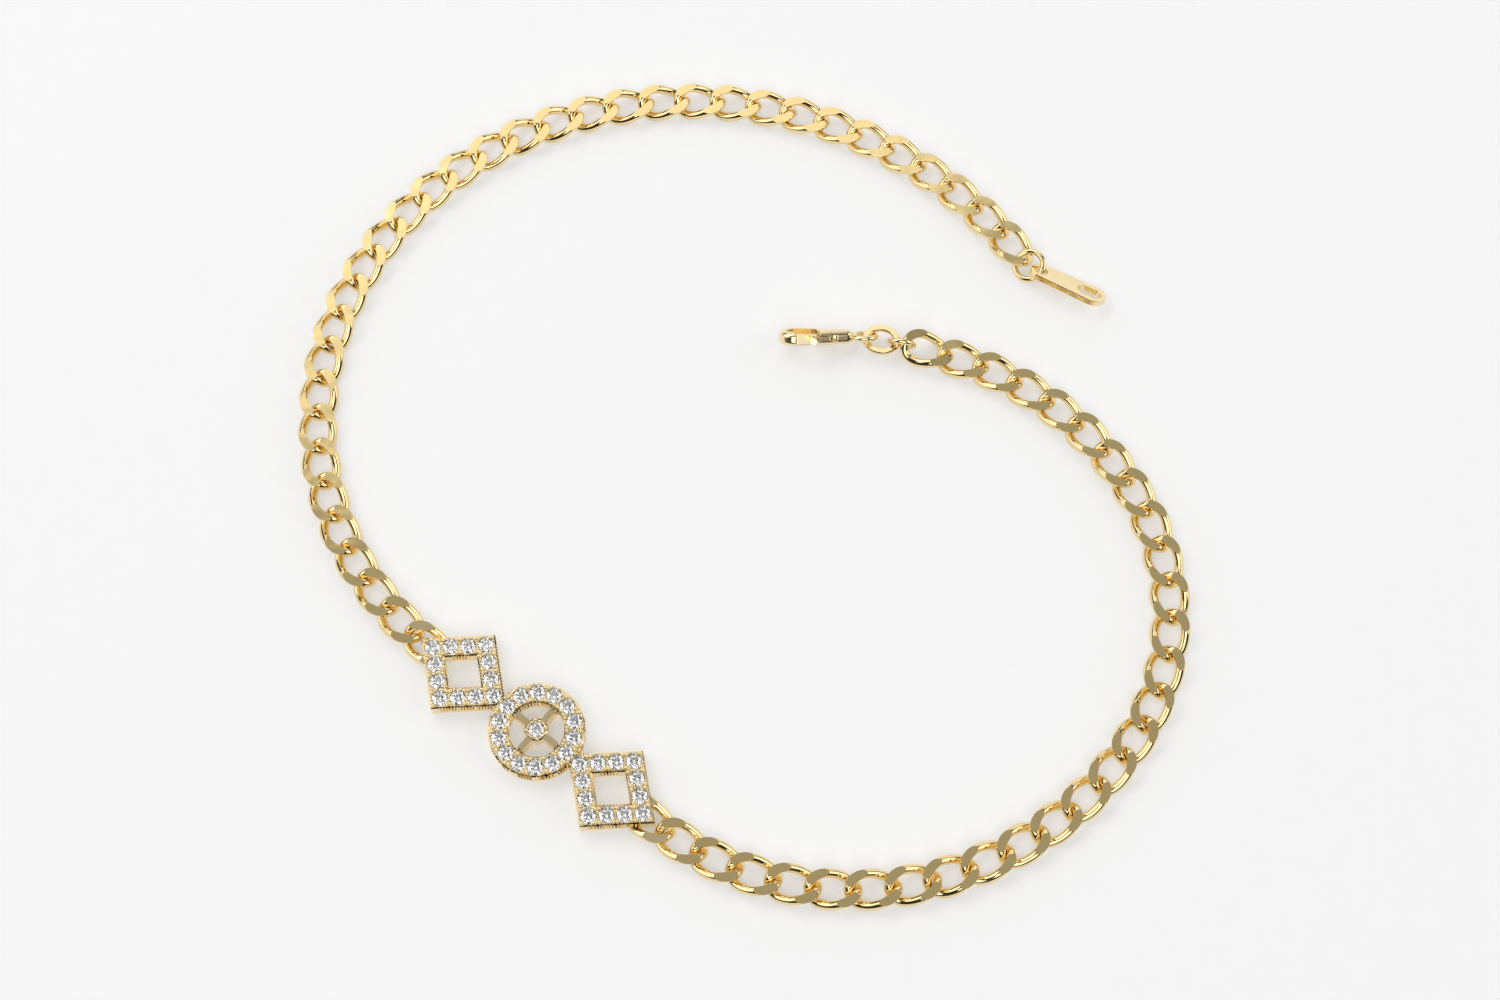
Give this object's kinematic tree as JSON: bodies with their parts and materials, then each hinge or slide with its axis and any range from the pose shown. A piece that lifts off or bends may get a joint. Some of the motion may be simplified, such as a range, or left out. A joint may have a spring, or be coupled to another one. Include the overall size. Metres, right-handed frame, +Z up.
{
  "type": "nameplate bracelet",
  "caption": "Openwork stone-set nameplate with twisted curb chain on both ends, a lobster clasp and a slotted end tag, laid out unfastened in an open curve.",
  "frame": {"origin": "centre of the laid-out bracelet's footprint, on the surface it lies on", "axes": "+Z up from the surface, +X along the nameplate, nameplate on the -Y side"},
  "size_m": [0.0689, 0.0563, 0.0026],
  "materials": {
    "yellow_gold": "polished 14 carat yellow gold",
    "set_plate": "polished yellow gold, its top covered with one row of set stones"
  },
  "bodies": {
    "bracelet": {"nameplate": "set_plate", "chain_left_1": "yellow_gold", "chain_left_2": "yellow_gold", "chain_left_3": "yellow_gold", "chain_left_4": "yellow_gold", "chain_right_1": "yellow_gold", "chain_right_2": "yellow_gold", "chain_right_3": "yellow_gold", "chain_right_4": "yellow_gold", "tag_ring": "yellow_gold", "end_tag": "yellow_gold", "small_ring": "yellow_gold", "oval_ring": "yellow_gold", "clasp_body": "yellow_gold"},
    "lever": {"clasp_lever": "yellow_gold"}
  },
  "joints": [
    {"name": "lever_hinge", "type": "hinge", "parent": "bracelet", "child": "lever", "pos_m": [-0.00218, 0.01121, 0.00134], "axis": [0.4913, -0.6302, -0.6012], "range_deg": [0, 25], "stiffness_Nm_per_rad": 0.0005, "springref_deg": -17.19}
  ]
}
